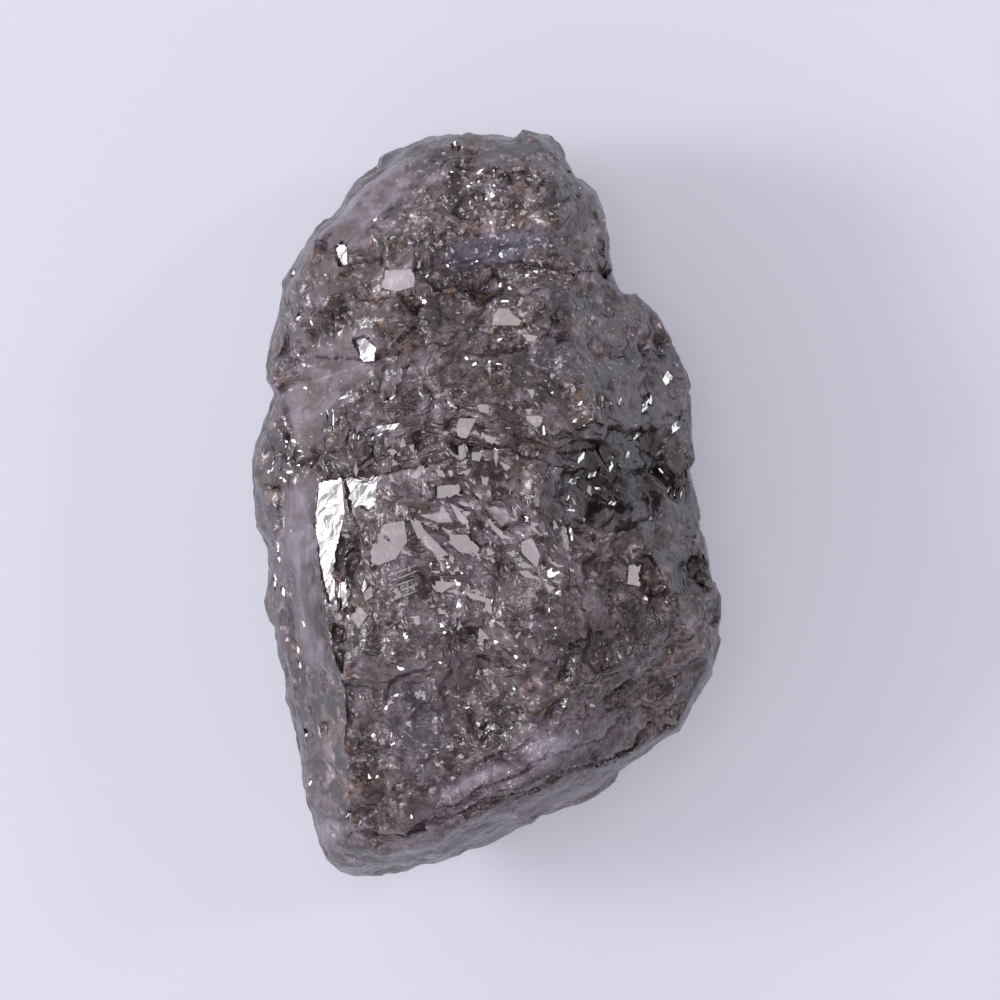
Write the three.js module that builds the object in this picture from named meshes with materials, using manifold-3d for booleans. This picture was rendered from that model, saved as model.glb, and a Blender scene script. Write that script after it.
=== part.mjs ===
// A rough diamond: one natural lump of grey-brown crystal, as found, lying on its flattest side.
// Units are millimetres, +Z is up, and the origin is under the middle of the stone, on the surface
// that it rests on. The long way of the stone runs along Y.
//
// The lump is a stack of outlines, one scaled ring above another, that swells from the flat base to
// its widest level (the girdle) and closes over the crown. Flat crystal and cleavage faces are then
// cut across it, and two troughs part the three blocks that the crystal grew in.
import * as THREE from "three";
import { mergeVertices } from "three/addons/utils/BufferGeometryUtils.js";
import Module from "manifold-3d";

const wasm = await Module();
wasm.setup();

const HEIGHT = 4.6; // from the base to the top of the crown
const GIRDLE_TILT = 0.1; // how much higher the widest level stands on the right than on the left, per mm
const CUTTER = 30; // edge of the block that cuts a face, larger than the stone
const WEDGE_DEPTH = 2; // how deep a trough's wedge is, from its sharp edge to its open side

// The stone's outline seen from above, anticlockwise from the right-hand corner.
const OUTLINE = [
  // right side, up to the shoulder
  [3.01, -1.28], [2.87, -0.72], [2.69, -0.01], [2.59, 0.41], [2.69, 0.56], [2.62, 1.1],
  [2.56, 1.64], [2.44, 2.01], [2.2, 2.45], [1.97, 2.69], [1.76, 2.75], [1.63, 2.96],
  // upper block: its right side, tip and sloping left side
  [1.56, 3.35], [1.48, 3.81], [1.41, 4.04], [1.18, 4.19], [0.97, 4.58], [0.86, 4.71],
  [0.48, 4.8], [0.37, 4.74], [-0.39, 4.76], [-0.71, 4.73], [-1.09, 4.53], [-1.63, 4.13],
  [-1.88, 3.79], [-2.14, 3.56], [-2.63, 2.87], [-2.73, 2.36],
  // left side: two bulges with a waist above and below the middle block
  [-2.86, 1.96], [-2.84, 1.63], [-2.74, 1.41], [-2.88, 0.99], [-2.97, 0.77], [-3.01, 0.3],
  [-2.92, -0.29], [-2.75, -0.57], [-2.77, -1.37], [-2.6, -2.54], [-2.46, -2.99], [-2.33, -3.67],
  // the blunt foot of the stone and the long slanting edge beside it
  [-2.17, -4.4], [-2.07, -4.62], [-1.9, -4.75], [-1.71, -4.8], [-1.45, -4.79], [-0.62, -4.63],
  [0.02, -4.42], [0.69, -4.05], [1.41, -3.69], [2.05, -3.24], [2.5, -2.94], [2.67, -2.56],
  [2.9, -2.2], [2.97, -1.6],
];

// Rings from the base to the crown: height as a share of HEIGHT, size as a share of the outline,
// and how far the ring takes part in the tilt of the girdle.
const RINGS = [
  { height: 0.0, size: 0.6, tilt: 0 },
  { height: 0.08, size: 0.8, tilt: 0.4 },
  { height: 0.2, size: 0.94, tilt: 0.8 },
  { height: 0.36, size: 1.0, tilt: 1 },
  { height: 0.58, size: 0.985, tilt: 0.8 },
  { height: 0.76, size: 0.94, tilt: 0.5 },
  { height: 0.9, size: 0.85, tilt: 0.2 },
  { height: 1.0, size: 0.7, tilt: 0 },
];

// Flat faces. azimuth is where a face looks, anticlockwise from +X seen from above; tilt is the
// angle between the way it looks and straight up; through is a point on it.
const FACES = {
  crown: { azimuth: 150, tilt: 5, through: [-0.3, -0.5, 4.55] },
  bright: { azimuth: 172, tilt: 27, through: [-1.45, -0.3, 4.38] },
  left: { azimuth: 181, tilt: 56, through: [-2.16, -0.6, 4.02] },
  front: { azimuth: 266, tilt: 17, through: [-0.5, -1.9, 4.45] },
  foot: { azimuth: 255, tilt: 60, through: [-1.8, -4.45, 3.3] },
  lowerLeft: { azimuth: 191, tilt: 66, through: [-2.22, -2.6, 3.35] },
  slant: { azimuth: 295, tilt: 74, through: [0.93, -3.72, 3.2] },
  rightShoulder: { azimuth: 350, tilt: 20, through: [1.1, -0.8, 4.4] },
  rightCorner: { azimuth: 322, tilt: 46, through: [2.3, -2.2, 3.5] },
  rightFlank: { azimuth: 5, tilt: 64, through: [2.6, -0.5, 3.4] },
  upperFlank: { azimuth: 22, tilt: 58, through: [2.25, 1.5, 3.4] },
  top: { azimuth: 82, tilt: 17, through: [0.0, 1.5, 4.42] },
  upperLeft: { azimuth: 138, tilt: 42, through: [-1.35, 3.3, 3.6] },
  midLeft: { azimuth: 170, tilt: 44, through: [-2.2, 1.7, 3.62] },
  tip: { azimuth: 88, tilt: 60, through: [0.0, 4.5, 3.2] },
  tipRight: { azimuth: 18, tilt: 60, through: [1.25, 3.7, 3.2] },
  underLeft: { azimuth: 197, tilt: 128, through: [-2.1, -0.5, 0.5] },
  underFoot: { azimuth: 282, tilt: 122, through: [-0.5, -4.05, 0.6] },
  underRight: { azimuth: 12, tilt: 130, through: [2.15, 0.2, 0.6] },
  underTip: { azimuth: 98, tilt: 125, through: [-0.2, 3.98, 0.6] },
  underCorner: { azimuth: 325, tilt: 138, through: [1.8, -1.9, 0.45] },
};

// Troughs between the growth blocks: a wide wedge whose sharp lower edge runs from one point to the
// other. lean is the angle between each of its walls and the wedge's middle plane.
const TROUGHS = {
  upper: { from: [-3.3, 1.2, 2.7], to: [-0.6, 2.1, 4.6], lean: 62 },
  middle: { from: [-3.3, 0.5, 2.75], to: [-1.1, 0.75, 4.55], lean: 66 },
};

const radians = THREE.MathUtils.degToRad;

// The closed mesh of the stacked rings, with the base and the crown filled by a fan each.
function lumpGeometry() {
  const positions = [];
  for (const ring of RINGS) {
    for (const [x, y] of OUTLINE) {
      const px = x * ring.size;
      const lift = GIRDLE_TILT * px * ring.tilt;
      positions.push(px, y * ring.size, ring.height * HEIGHT + lift);
    }
  }
  const count = OUTLINE.length;
  const index = [];
  for (let r = 0; r + 1 < RINGS.length; r += 1) {
    for (let i = 0; i < count; i += 1) {
      const a = r * count + i;
      const b = r * count + ((i + 1) % count);
      index.push(a, b, b + count, a, b + count, a + count);
    }
  }
  const baseCentre = positions.length / 3;
  positions.push(0, 0, 0);
  positions.push(0, 0, HEIGHT);
  const topRing = (RINGS.length - 1) * count;
  for (let i = 0; i < count; i += 1) {
    const next = (i + 1) % count;
    index.push(baseCentre, next, i);
    index.push(baseCentre + 1, topRing + i, topRing + next);
  }
  const geometry = new THREE.BufferGeometry();
  geometry.setAttribute("position", new THREE.Float32BufferAttribute(positions, 3));
  geometry.setIndex(index);
  return geometry;
}

// A closed geometry as a solid.
function solidOf(geometry) {
  geometry.deleteAttribute("normal");
  geometry.deleteAttribute("uv");
  const merged = mergeVertices(geometry, 1e-4);
  return new wasm.Manifold(
    new wasm.Mesh({
      numProp: 3,
      vertProperties: merged.attributes.position.array,
      triVerts: new Uint32Array(merged.index.array),
    }),
  );
}

// The way a face looks, as a unit vector.
function outward({ azimuth, tilt }) {
  const flat = Math.sin(radians(tilt));
  return new THREE.Vector3(
    flat * Math.cos(radians(azimuth)),
    flat * Math.sin(radians(azimuth)),
    Math.cos(radians(tilt)),
  );
}

// A block that takes away everything in front of a face.
function cutterFor(face) {
  const normal = outward(face);
  const block = new THREE.BoxGeometry(CUTTER, CUTTER, CUTTER);
  const middle = new THREE.Vector3(...face.through).addScaledVector(normal, CUTTER / 2);
  const turn = new THREE.Quaternion().setFromUnitVectors(new THREE.Vector3(0, 0, 1), normal);
  block.applyMatrix4(new THREE.Matrix4().compose(middle, turn, new THREE.Vector3(1, 1, 1)));
  return solidOf(block);
}

// A long three-sided wedge whose sharp lower edge runs along a trough.
function wedgeFor({ from, to, lean }) {
  const start = new THREE.Vector3(...from);
  const along = new THREE.Vector3(...to).sub(start);
  const spread = WEDGE_DEPTH * Math.tan(radians(lean));
  const profile = new THREE.Shape([
    new THREE.Vector2(0, 0),
    new THREE.Vector2(spread, WEDGE_DEPTH),
    new THREE.Vector2(-spread, WEDGE_DEPTH),
  ]);
  const wedge = new THREE.ExtrudeGeometry(profile, { depth: along.length(), bevelEnabled: false });
  const forward = along.normalize();
  const side = new THREE.Vector3(0, 0, 1).cross(forward).normalize();
  const up = forward.clone().cross(side);
  wedge.applyMatrix4(new THREE.Matrix4().makeBasis(side, up, forward).setPosition(start));
  return solidOf(wedge);
}

// A solid as a geometry for a mesh.
function geometryOf(solid) {
  const mesh = solid.getMesh();
  const geometry = new THREE.BufferGeometry();
  geometry.setAttribute("position", new THREE.BufferAttribute(mesh.vertProperties, 3));
  geometry.setIndex(new THREE.BufferAttribute(mesh.triVerts, 1));
  return geometry;
}

let stone = solidOf(lumpGeometry());
for (const face of Object.values(FACES)) stone = stone.subtract(cutterFor(face));
for (const trough of Object.values(TROUGHS)) stone = stone.subtract(wedgeFor(trough));

const crystal = new THREE.MeshStandardMaterial({ color: 0x675e65, roughness: 0.25, metalness: 0 });
const diamond = new THREE.Mesh(geometryOf(stone), crystal);
diamond.name = "rough_diamond";

const part = new THREE.Group();
part.add(diamond);

export default part;
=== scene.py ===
import math

import bmesh
import bpy
import numpy as np
from mathutils import Matrix, Vector


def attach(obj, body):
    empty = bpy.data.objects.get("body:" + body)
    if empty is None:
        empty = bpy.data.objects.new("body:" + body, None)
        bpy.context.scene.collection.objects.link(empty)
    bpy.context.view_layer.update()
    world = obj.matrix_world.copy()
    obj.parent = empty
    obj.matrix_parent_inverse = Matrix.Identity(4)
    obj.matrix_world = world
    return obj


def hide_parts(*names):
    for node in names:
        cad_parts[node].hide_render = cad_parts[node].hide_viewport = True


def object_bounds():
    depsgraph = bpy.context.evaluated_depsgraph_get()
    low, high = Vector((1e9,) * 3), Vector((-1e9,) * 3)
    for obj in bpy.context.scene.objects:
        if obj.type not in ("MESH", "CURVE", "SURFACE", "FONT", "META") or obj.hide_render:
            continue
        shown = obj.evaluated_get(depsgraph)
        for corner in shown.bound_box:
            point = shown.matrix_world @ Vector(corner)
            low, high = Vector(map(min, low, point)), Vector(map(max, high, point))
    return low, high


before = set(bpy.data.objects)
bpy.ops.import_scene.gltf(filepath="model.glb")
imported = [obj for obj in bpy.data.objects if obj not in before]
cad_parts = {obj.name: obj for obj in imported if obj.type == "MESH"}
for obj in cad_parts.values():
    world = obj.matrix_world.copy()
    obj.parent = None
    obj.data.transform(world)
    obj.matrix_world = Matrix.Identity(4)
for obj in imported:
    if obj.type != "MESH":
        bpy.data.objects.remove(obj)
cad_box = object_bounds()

# A rough diamond: one lump of grey-brown crystal. Its surface is worked in millimetres, in the
# frame's axes, and scaled to metres at the end. +Y is the long way, +Z is up.
NODE = "rough_diamond"
MM = 0.001
CELL = 0.03  # edge of the cells that the surface is rebuilt from
FACE_LIMIT = 160000  # triangles in the stone before single facets are cut
BASE_SKIN = 0.04  # what lies lower than this is pressed flat, so that the stone rests steady
MERGE = 0.0005  # points of the lump that lie closer than this are one
WAVER = 0.09  # how far the edges of grooves and hollows stray
SIDE_RELIEF = 0.45  # how strongly the sides are broken, next to the crown
FACE_START = 1.8  # the faces that stayed smooth end at this height
CROWN_START = 2.0  # single facets are cut only above this height
CREASE = math.radians(32)  # edges that bend more than this are crisp
CUT_DEPTH = 0.012  # how far a cut facet lies under the surface that it replaces
CUT_HEIGHT = 0.35  # how far a cutting block stands up
WALL_LEAN = 0.03  # how far the walls of a named facet lean outwards
MAIN_SWEEP = math.radians(-50)  # the way most of the chips point
CHIP_TILT = math.radians(4)  # how far a chip's floor may lean off its plane
CHIP_GAP = 2.7  # how far apart chips lie, in lengths of a chip
CHIP_TRIES = 2.0  # how many chips are tried for each place that one could take
RING_CENTRE = (-0.5, -1.7)  # where the shell-like rings of the crown are centred
SOLVER = "MANIFOLD"  # the way blocks are cut out of the stone, which keeps it closed
HALF = (0.5, 0.5, 0.5)  # the middle of a random colour


def facing(azimuth, tilt):
    """The unit vector of a face that looks azimuth degrees anticlockwise from +X, tilted from +Z."""
    flat = math.sin(math.radians(tilt))
    turn = math.radians(azimuth)
    return np.array((flat * math.cos(turn), flat * math.sin(turn), math.cos(math.radians(tilt))))


# The crystal's four sets of parallel growth planes.
PLATE = facing(150, 4)
LEFT_PLANE = facing(184, 62)
SLANT_PLANE = facing(297, 72)
RIGHT_PLANE = facing(40, 64)
KEY_FACET = facing(176, 27)  # small facets that mirror the main light
SHEEN_FACET = facing(173, 24)  # and facets that mirror only the rim of it
RIGHT_FACET = facing(20, 22)  # small facets that mirror the small light at the right


# ---------------------------------------------------------------- numbers on the surface

def smooth(low, high, value):
    """0 below low, 1 above high, with an even curve between."""
    t = np.clip((value - low) / (high - low), 0, 1)
    return t * t * (3 - 2 * t)


def lattice(cell, seed):
    """A steady random number from 0 to 1 for each corner of a cubic lattice."""
    mixed = cell[:, 0] * 73856093 ^ cell[:, 1] * 19349663 ^ cell[:, 2] * 83492791 ^ seed * 2654435
    mixed = (mixed ^ (mixed >> 13)) * 1274126177 & 0x7FFFFFFF
    mixed = (mixed ^ (mixed >> 11)) * 69069 & 0x7FFFFFFF
    return (mixed & 0xFFFF) / 65535


def noise(points, size, seed):
    """Smooth noise from -1 to 1 whose bumps are about size across."""
    scaled = points / size
    cell = np.floor(scaled).astype(np.int64)
    part = scaled - cell
    part = part * part * (3 - 2 * part)
    total = np.zeros(len(points))
    for corner in range(8):
        step = np.array((corner & 1, corner >> 1 & 1, corner >> 2))
        weight = np.prod(np.where(step, part, 1 - part), axis=1)
        total += weight * lattice(cell + step, seed)
    return total * 2 - 1


def inside(points, outline):
    """True for the points whose plan lies inside an outline."""
    x, y = points[:, 0], points[:, 1]
    result = np.zeros(len(points), dtype=bool)
    for (ax, ay), (bx, by) in zip(outline, outline[1:] + outline[:1]):
        crosses = (ay > y) != (by > y)
        where = ax + (y - ay) * (bx - ax) / (by - ay if by != ay else 1)
        result ^= crosses & (x < where)
    return result


def distance_to(points, line):
    """Distance in plan to an open line, and on which side of it a point lies (+1 is left)."""
    nearest = np.full(len(points), 1e9)
    side = np.ones(len(points))
    for start, end in zip(line, line[1:]):
        a, along = np.array(start), np.array(end) - np.array(start)
        away = points[:, :2] - a
        t = np.clip(away @ along / (along @ along), 0, 1)
        gap = np.linalg.norm(away - t[:, None] * along, axis=1)
        closer = gap < nearest
        nearest[closer] = gap[closer]
        turned = along[0] * away[:, 1] - along[1] * away[:, 0]
        side[closer] = np.sign(turned)[closer]
    return nearest, side


def spot(points, centre, radii, turn=0.0):
    """1 in the middle of an ellipse in plan, falling to 0 at its rim."""
    c, s = math.cos(math.radians(turn)), math.sin(math.radians(turn))
    x, y = points[:, 0] - centre[0], points[:, 1] - centre[1]
    u, v = (x * c + y * s) / radii[0], (y * c - x * s) / radii[1]
    return 1 - smooth(0.35, 1.0, np.sqrt(u * u + v * v))


def largest(*fields):
    """The largest of several fields, point by point."""
    return np.max(np.stack(fields), axis=0)


# ---------------------------------------------------------------- meshes

def read_vectors(mesh, kind):
    flat = np.empty(len(mesh.vertices) * 3)
    mesh.vertices.foreach_get(kind, flat)
    return flat.reshape(-1, 3)


def read_points(mesh):
    return read_vectors(mesh, "co")


def read_normals(mesh):
    return read_vectors(mesh, "normal")


def write_points(mesh, points):
    mesh.vertices.foreach_set("co", points.ravel())
    mesh.update()


def store(mesh, name, values):
    """Keeps a number, or a vector, for each point under a name."""
    if name in mesh.attributes:
        mesh.attributes.remove(mesh.attributes[name])
    if values.ndim == 2:
        layer = mesh.attributes.new(name, "FLOAT_VECTOR", "POINT")
        layer.data.foreach_set("vector", values.ravel().astype(np.float32))
    else:
        layer = mesh.attributes.new(name, "FLOAT", "POINT")
        layer.data.foreach_set("value", values.astype(np.float32))


def new_object(name, data):
    """A new object in the scene."""
    made = bpy.data.objects.new(name, data)
    bpy.context.scene.collection.objects.link(made)
    return made


def keep_modifiers(piece):
    """Turns what a piece's modifiers make into its plain mesh."""
    graph = bpy.context.evaluated_depsgraph_get()
    made = bpy.data.meshes.new_from_object(
        piece.evaluated_get(graph), preserve_all_data_layers=True, depsgraph=graph
    )
    piece.modifiers.clear()
    old, piece.data = piece.data, made
    bpy.data.meshes.remove(old)


def rebuilt_lump():
    """The CAD lump as an even fine mesh in millimetres."""
    mesh = bpy.data.objects[NODE].data.copy()
    mesh.transform(Matrix.Scale(1 / MM, 4))
    work = bmesh.new()
    work.from_mesh(mesh)
    bmesh.ops.remove_doubles(work, verts=work.verts, dist=MERGE)
    work.to_mesh(mesh)
    work.free()
    mesh.materials.clear()
    piece = new_object("diamond_crystal", mesh)
    remesh = piece.modifiers.new("even cells", "REMESH")
    remesh.mode = "VOXEL"
    remesh.voxel_size = CELL
    keep_modifiers(piece)
    return piece


# ---------------------------------------------------------------- large features

# Grooves where two growth blocks meet. Beside each line a strip of the given width stands lower:
# on the left hand side where the depth is positive, on the right hand side where it is negative.
LEDGES = [
    {"line": [(-1.3, 0.42), (-1.85, 0.32), (-2.25, 0.44), (-2.6, 0.2), (-3.0, 0.15)],
     "depth": -0.05, "width": 0.36},
    {"line": [(0.85, 0.55), (0.2, 0.72), (-0.55, 0.55), (-1.3, 0.42)], "depth": -0.09, "width": 0.3},
    {"line": [(-1.0, 2.0), (-1.55, 1.75), (-2.1, 1.85), (-2.75, 1.5)], "depth": -0.05, "width": 0.35},
    {"line": [(2.1, 2.6), (1.4, 2.95), (0.4, 3.05), (-0.6, 2.85), (-1.4, 2.6)],
     "depth": -0.12, "width": 0.4},
    {"line": [(2.75, -2.3), (2.2, -2.9), (1.4, -3.3), (0.6, -3.62), (-0.4, -4.0), (-1.3, -4.2)],
     "depth": 0.1, "width": 0.16},
    {"line": [(2.45, -2.15), (1.5, -2.95), (0.5, -3.42), (-0.5, -3.85)], "depth": 0.12, "width": 0.16},
    {"line": [(2.1, -2.2), (1.3, -2.72), (0.3, -3.15), (-0.6, -3.55)], "depth": 0.07, "width": 0.15},
    {"line": [(1.6, -2.2), (0.9, -2.6), (0.1, -2.9), (-0.7, -3.3)], "depth": 0.05, "width": 0.14},
]

# Hollows: where their middle is, how large and how deep they are, and how they are turned.
HOLLOWS = [
    {"centre": (1.75, 0.42), "radii": (0.95, 0.75), "turn": 20, "depth": 0.5},
    {"centre": (1.2, 0.05), "radii": (0.45, 0.35), "turn": 0, "depth": 0.18},
    {"centre": (-1.81, -0.62), "radii": (0.22, 0.32), "turn": -10, "depth": 0.12},
    {"centre": (-2.1, -1.5), "radii": (0.14, 0.4), "turn": 0, "depth": 0.05},
    {"centre": (2.62, -0.9), "radii": (0.28, 0.36), "turn": 0, "depth": 0.26},
    {"centre": (2.1, -0.95), "radii": (0.2, 0.4), "turn": 10, "depth": 0.16},
    {"centre": (-2.1, 1.82), "radii": (0.16, 0.09), "turn": 20, "depth": 0.03},
    {"centre": (-1.8, 1.84), "radii": (0.16, 0.1), "turn": 30, "depth": 0.03},
    {"centre": (1.5, -1.9), "radii": (0.4, 0.22), "turn": 20, "depth": 0.16},
    {"centre": (0.1, -1.9), "radii": (0.5, 0.35), "turn": 0, "depth": 0.12},
    {"centre": (-0.9, -2.6), "radii": (0.4, 0.6), "turn": 0, "depth": 0.1},
    {"centre": (1.85, 2.0), "radii": (0.3, 0.4), "turn": 0, "depth": 0.14},
    {"centre": (-1.85, 0.7), "radii": (0.3, 0.2), "turn": 20, "depth": 0.06},
]

# Faces that stayed smooth, as outlines in plan: no plates or grain break them.
SMOOTH_FACES = {
    "lower_left": [(-2.62, 0.2), (-2.23, 0.4), (-2.14, 0.25), (-2.18, -0.22), (-2.11, -0.86),
                   (-2.0, -1.5), (-2.1, -2.1), (-2.36, -2.0), (-2.55, -0.9), (-2.68, -0.2)],
    "bright": [(-2.13, 0.28), (-1.81, 0.33), (-1.38, 0.37), (-1.41, -0.09), (-1.72, -0.12), (-1.8, -0.4),
               (-1.92, -0.8), (-1.94, -1.25), (-2.03, -1.31), (-2.11, -0.86), (-2.18, -0.22)],
    "upper_left": [(-1.1, 4.4), (-1.75, 3.95), (-2.2, 3.35), (-2.0, 3.15), (-1.6, 3.4), (-1.2, 3.75),
                   (-0.95, 4.1)],
    "shoulder": [(-2.6, 1.35), (-2.3, 1.9), (-1.95, 2.15), (-1.5, 2.25), (-1.25, 1.8), (-1.7, 1.4),
                 (-2.0, 0.95), (-2.2, 0.5), (-2.45, 0.45)],
}


def face_weight(points, outline):
    """1 on a smooth face, 0 off it, with a ragged soft edge between."""
    gap, _ = distance_to(points, outline + outline[:1])
    depth = np.where(inside(points, outline), gap, -gap)
    ragged = 0.07 * noise(points, 0.3, 31) + 0.04 * noise(points, 0.12, 32)
    return smooth(-0.1, 0.14, depth + ragged) * (points[:, 2] > FACE_START)


def smooth_faces(points):
    """How much each point belongs to one of the faces that stayed smooth."""
    return largest(*(face_weight(points, outline) for outline in SMOOTH_FACES.values()))


def crown_weight(points, normals):
    """1 on what is seen from above, 0 on the sides and below."""
    return smooth(0.1, 0.45, normals[:, 2]) * smooth(1.2, 2.2, points[:, 2])


def carve_large_features(piece):
    """Lowers the crown along the ledges and in the hollows."""
    mesh = piece.data
    points = read_points(mesh)
    crown = crown_weight(points, read_normals(mesh))
    drop = np.zeros(len(points))
    waves = np.stack([noise(points, 0.35, 5), noise(points, 0.35, 6), np.zeros(len(points))], axis=1)
    wavy = points + WAVER * waves
    for ledge in LEDGES:
        gap, side = distance_to(wavy, ledge["line"])
        lower = side < 0 if ledge["depth"] < 0 else side > 0
        fade = np.exp(-gap / ledge["width"]) * smooth(2.5, 1.0, gap / ledge["width"])
        drop += np.where(lower, fade, 0) * abs(ledge["depth"])
    for hollow in HOLLOWS:
        drop += spot(wavy, hollow["centre"], hollow["radii"], hollow["turn"]) * hollow["depth"]
    points[:, 2] -= drop * crown
    write_points(mesh, points)


def mark_surface(piece):
    """Stores how strongly plates and grain break the surface at each point, and how it faces."""
    mesh = piece.data
    points, normals = read_points(mesh), read_normals(mesh)
    open_surface = 1 - smooth_faces(points)
    lifted = smooth(0.02, 0.3, points[:, 2])
    sides = SIDE_RELIEF + (1 - SIDE_RELIEF) * smooth(0.2, 0.7, normals[:, 2])
    store(mesh, "relief", open_surface * lifted * sides)
    store(mesh, "outward", normals)


# ---------------------------------------------------------------- node trees

class Graph:
    """Adds nodes to a tree, so that each node of a formula is one short call."""

    def __init__(self, tree):
        self.tree = tree

    def add(self, kind, inputs=None, **settings):
        node = self.tree.nodes.new(kind)
        for name, value in settings.items():
            setattr(node, name, value)
        for key, value in (inputs or {}).items():
            if isinstance(value, bpy.types.NodeSocket):
                self.tree.links.new(value, node.inputs[key])
            else:
                node.inputs[key].default_value = value
        return node

    def math(self, operation, *values, clamp=False):
        node = self.add("ShaderNodeMath", dict(enumerate(values)), operation=operation, use_clamp=clamp)
        return node.outputs[0]

    def vector(self, operation, *values):
        return self.add("ShaderNodeVectorMath", dict(enumerate(values)), operation=operation).outputs[0]

    def scaled(self, value, factor):
        node = self.add("ShaderNodeVectorMath", {0: value, "Scale": factor}, operation="SCALE")
        return node.outputs[0]

    def dot(self, a, b):
        return self.add("ShaderNodeVectorMath", {0: a, 1: b}, operation="DOT_PRODUCT").outputs["Value"]

    def parts(self, value):
        return self.add("ShaderNodeSeparateXYZ", {0: value}).outputs

    def join(self, x, y, z=0.0):
        return self.add("ShaderNodeCombineXYZ", {0: x, 1: y, 2: z}).outputs[0]

    def ramp(self, value, low, high, to_low=0.0, to_high=1.0, shape="SMOOTHSTEP"):
        inputs = {"Value": value, "From Min": low, "From Max": high, "To Min": to_low, "To Max": to_high}
        return self.add("ShaderNodeMapRange", inputs, interpolation_type=shape).outputs[0]


def new_tree(name, fields):
    """A geometry tree with one named input for its material and one for each of the fields."""
    tree = bpy.data.node_groups.new(name, "GeometryNodeTree")
    face = tree.interface
    face.new_socket(name="Geometry", in_out="INPUT", socket_type="NodeSocketGeometry")
    face.new_socket(name="Geometry", in_out="OUTPUT", socket_type="NodeSocketGeometry")
    for field, kind in {"Material": "Material", **fields}.items():
        face.new_socket(name=field, in_out="INPUT", socket_type="NodeSocket" + kind)
    graph = Graph(tree)
    return tree, graph, graph.add("NodeGroupInput").outputs


def end_tree(graph, given, geometry):
    """Makes instances real, gives them the material and ends the tree."""
    real = graph.add("GeometryNodeRealizeInstances", {"Geometry": geometry})
    clad = graph.add(
        "GeometryNodeSetMaterial", {"Geometry": real.outputs[0], "Material": given["Material"]}
    )
    graph.add("NodeGroupOutput", {"Geometry": clad.outputs[0]})


def stored(graph, name, kind="FLOAT"):
    """What was stored for each point under a name."""
    node = graph.add("GeometryNodeInputNamedAttribute", {"Name": name}, data_type=kind)
    return node.outputs["Attribute"]


def relief_tree(name, fields):
    """A geometry tree that moves points as far as its mask lets it."""
    tree, graph, given = new_tree(name, {"Mask": "String", "Seed": "Float", **fields})
    return tree, graph, given, stored(graph, given["Mask"])


def outward_field(graph):
    """The way the surface faced before it was broken."""
    return stored(graph, "outward", "FLOAT_VECTOR")


def end_relief_tree(graph, given, offset):
    """Moves the points by offset and ends the tree."""
    moved = graph.add("GeometryNodeSetPosition", {"Geometry": given["Geometry"], "Offset": offset})
    end_tree(graph, given, moved.outputs[0])


def growth_steps_tree():
    """Breaks a surface into flat plates that all lie square to one direction, like stairs."""
    fields = {"Direction": "Vector", "Step height": "Float", "Plate size": "Float", "Wander": "Float",
              "Riser": "Float"}
    tree, graph, given, mask = relief_tree("growth steps", fields)
    place = graph.add("GeometryNodeInputPosition").outputs[0]
    level = graph.dot(place, given["Direction"])
    scale = graph.math("DIVIDE", 1.0, given["Plate size"])
    wave = graph.add(
        "ShaderNodeTexNoise",
        {"Vector": place, "W": given["Seed"], "Scale": scale, "Detail": 1.5, "Roughness": 0.5},
        noise_dimensions="4D",
    )
    wander = graph.math("MULTIPLY", graph.math("SUBTRACT", wave.outputs[0], 0.5), given["Wander"])
    stairs = graph.math("DIVIDE", graph.math("ADD", level, wander), given["Step height"])
    whole = graph.math("FLOOR", stairs)
    rest = graph.math("SUBTRACT", stairs, whole)
    riser_start = graph.math("SUBTRACT", 1.0, given["Riser"])
    climb = graph.ramp(rest, riser_start, 1.0)
    target = graph.math("MULTIPLY", graph.math("ADD", whole, climb), given["Step height"])
    near = graph.ramp(graph.dot(outward_field(graph), given["Direction"]), 0.7, 0.92)
    reach = graph.math("MULTIPLY", mask, near)
    shift = graph.math("MULTIPLY", graph.math("SUBTRACT", target, level), reach)
    end_relief_tree(graph, given, graph.scaled(given["Direction"], shift))
    return tree


def broken_facets_tree():
    """Breaks a surface into small flat facets, each tilted its own way."""
    tree, graph, given, mask = relief_tree("broken facets", {"Facet size": "Float", "Tilt": "Float"})
    place = graph.add("GeometryNodeInputPosition").outputs[0]
    slide = graph.scaled((17.3, 9.1, 5.7), given["Seed"])
    moved = graph.vector("ADD", place, slide)
    around = {"Vector": moved, "Scale": graph.math("DIVIDE", 1.0, given["Facet size"])}
    cells = graph.add("ShaderNodeTexVoronoi", around).outputs
    borders = graph.add("ShaderNodeTexVoronoi", around, feature="DISTANCE_TO_EDGE").outputs["Distance"]
    lean = graph.vector("SUBTRACT", cells["Color"], HALF)
    away = graph.vector("SUBTRACT", moved, cells["Position"])
    rise = graph.math("MULTIPLY", graph.dot(lean, away), graph.math("MULTIPLY", given["Tilt"], 2.0))
    rise = graph.math("MULTIPLY", rise, graph.ramp(borders, 0.0, 0.14))
    end_relief_tree(graph, given, graph.scaled(outward_field(graph), graph.math("MULTIPLY", rise, mask)))
    return tree


def add_tree(piece, tree, **values):
    """Puts a geometry tree on a piece with its inputs set by socket identifier."""
    modifier = piece.modifiers.new(tree.name, "NODES")
    modifier.node_group = tree
    for item in tree.interface.items_tree:
        key = item.name.replace(" ", "_").lower()
        if item.in_out == "INPUT" and key in values:
            modifier[item.identifier] = values[key]


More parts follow.
